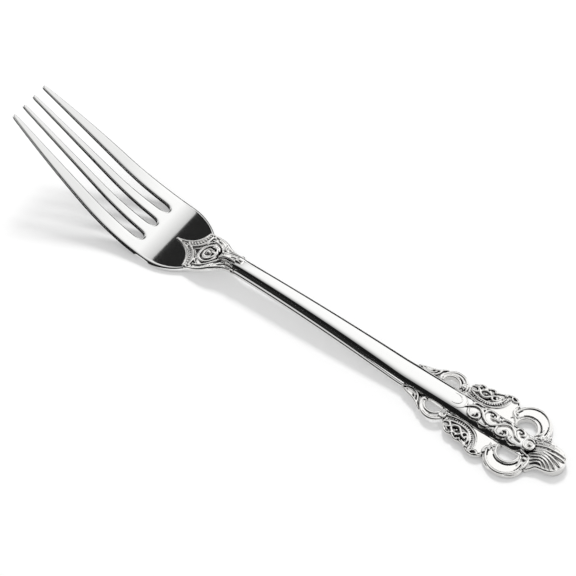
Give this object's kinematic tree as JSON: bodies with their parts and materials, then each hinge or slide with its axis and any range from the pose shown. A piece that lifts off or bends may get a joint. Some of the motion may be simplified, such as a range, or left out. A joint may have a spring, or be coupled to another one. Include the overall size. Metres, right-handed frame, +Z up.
{
  "type": "dinner fork",
  "caption": "Dinner fork of polished steel with slim curved tines, a ribbed stem and an openwork scroll handle, for eating at table.",
  "frame": {"origin": "on the table, at the middle of the fork's length and width", "axes": "+X from the tine tips to the end of the handle, +Y to the right of the hand that holds it, +Z up"},
  "size_m": [0.205, 0.0264, 0.0301],
  "materials": {
    "polished_steel": "mirror polished",
    "ornament_steel": "polished relief, darker in its recesses"
  },
  "bodies": {
    "root": {"bowl": "polished_steel", "crest_rim": "ornament_steel", "entry_leaf_left": "ornament_steel", "entry_leaf_right": "ornament_steel", "handle_bed": "ornament_steel", "handle_ridge": "ornament_steel", "lower_scroll_left": "ornament_steel", "lower_scroll_right": "ornament_steel", "neck": "polished_steel", "neck_bead_left": "ornament_steel", "neck_bead_right": "ornament_steel", "neck_crest": "ornament_steel", "neck_leaf": "ornament_steel", "neck_rosette": "ornament_steel", "ridge_boss": "ornament_steel", "ridge_leaves": "ornament_steel", "side_panel_left": "ornament_steel", "side_panel_right": "ornament_steel", "stem_bar": "polished_steel", "stem_ridge": "polished_steel", "terminal_shell": "ornament_steel", "tine_1": "polished_steel", "tine_2": "polished_steel", "tine_3": "polished_steel", "tine_4": "polished_steel", "upper_scroll_left": "ornament_steel", "upper_scroll_right": "ornament_steel"}
  },
  "joints": []
}
